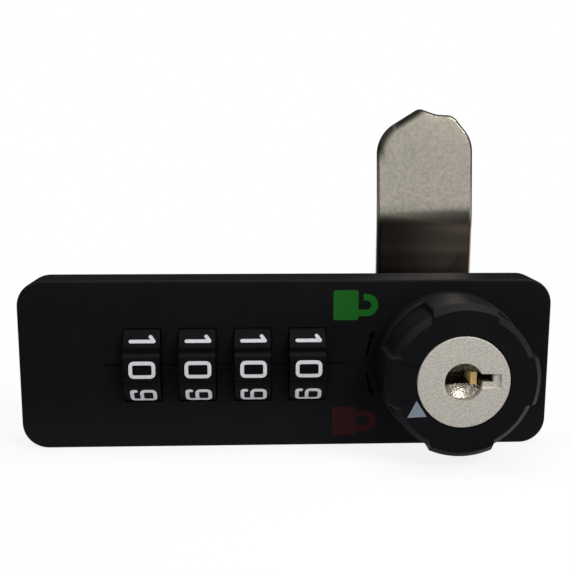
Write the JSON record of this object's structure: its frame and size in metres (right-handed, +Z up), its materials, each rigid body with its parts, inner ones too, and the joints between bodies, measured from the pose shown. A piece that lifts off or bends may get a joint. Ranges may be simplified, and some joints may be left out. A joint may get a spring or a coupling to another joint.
{
  "type": "combination cam lock",
  "caption": "Drawer cam lock: number dials in a long black case, a lobed knob with a key override, and a flat steel cam that swings behind the drawer front.",
  "frame": {"origin": "on the knob's axis at the mounting plane, the rear face of the front case", "axes": "+X right along the case seen from the front, +Y into the drawer front along the barrel, +Z up"},
  "size_m": [0.116, 0.0506, 0.0746],
  "materials": {
    "case_black": "satin black powder coat",
    "print_green": "green pad print",
    "print_red": "red pad print",
    "insert_brass": "turned brass",
    "housing_black": "black coated die-casting",
    "screw_black": "black oxide steel",
    "spring_steel": "spring steel strip",
    "screw_steel": "plated steel",
    "shaft_steel": "ground steel",
    "bar_steel": "stamped steel",
    "spring_wire": "spring wire",
    "knob_black": "matt black coated die-casting",
    "pointer_grey": "light grey inlay",
    "clip_steel": "spring steel",
    "cylinder_nickel": "bead-blasted satin nickel",
    "plug_metal": "dark plated zinc",
    "wafer_brass": "stamped brass",
    "spindle_steel": "turned steel",
    "spindle_screw_steel": "plated steel",
    "stop_washer_steel": "plated steel",
    "cam_steel": "stamped zinc-plated steel",
    "cam_washer_steel": "plated steel",
    "cam_screw_steel": "plated steel",
    "dial_black": "matt black moulding",
    "sleeve_brass": "turned brass"
  },
  "bodies": {
    "case": {"front_case": "case_black", "icon_open_print": "print_green", "icon_locked_print": "print_red", "mount_inserts": "insert_brass", "rear_housing": "housing_black", "housing_screws": "screw_black", "detent_comb": "spring_steel", "comb_screws": "screw_steel", "dial_shaft": "shaft_steel", "bar_spring": "spring_wire"},
    "knob_assembly": {"knob": "knob_black", "pointer_mark": "pointer_grey", "knob_clip": "clip_steel", "cylinder_shell": "cylinder_nickel", "spindle": "spindle_steel", "spindle_screws": "spindle_screw_steel", "stop_washer": "stop_washer_steel", "cam": "cam_steel", "cam_washer": "cam_washer_steel", "cam_screw": "cam_screw_steel"},
    "key_cylinder": {"key_plug": "plug_metal", "plug_wafers": "wafer_brass"},
    "locking_bar": {"locking_bar": "bar_steel"},
    "dial_1": {"dial_wheel_1": "dial_black", "code_sleeve_1": "sleeve_brass"},
    "dial_2": {"dial_wheel_2": "dial_black", "code_sleeve_2": "sleeve_brass"},
    "dial_3": {"dial_wheel_3": "dial_black", "code_sleeve_3": "sleeve_brass"},
    "dial_4": {"dial_wheel_4": "dial_black", "code_sleeve_4": "sleeve_brass"}
  },
  "joints": [
    {"name": "knob_turn", "type": "hinge", "parent": "case", "child": "knob_assembly", "pos_m": [0, 0, 0], "axis": [0, 1, 0], "range_deg": [0, 90]},
    {"name": "key_turn", "type": "hinge", "parent": "knob_assembly", "child": "key_cylinder", "pos_m": [0, 0, 0], "axis": [0, 1, 0], "range_deg": [0, 90]},
    {"name": "bar_slide", "type": "slide", "parent": "case", "child": "locking_bar", "axis": [-1, 0, 0], "range_m": [0, 0.0021], "deforming": ["bar_spring"]},
    {"name": "dial_1_turn", "type": "hinge", "parent": "case", "child": "dial_1", "pos_m": [-0.06672, -0.0019, 0], "axis": [1, 0, 0], "continuous": true},
    {"name": "dial_2_turn", "type": "hinge", "parent": "case", "child": "dial_2", "pos_m": [-0.05479, -0.0019, 0], "axis": [1, 0, 0], "continuous": true},
    {"name": "dial_3_turn", "type": "hinge", "parent": "case", "child": "dial_3", "pos_m": [-0.04286, -0.0019, 0], "axis": [1, 0, 0], "continuous": true},
    {"name": "dial_4_turn", "type": "hinge", "parent": "case", "child": "dial_4", "pos_m": [-0.03093, -0.0019, 0], "axis": [1, 0, 0], "continuous": true}
  ],
  "couplings": [
    {"joint": "bar_slide", "follows": "knob_turn", "m_per_rad": 0.0013369}
  ]
}
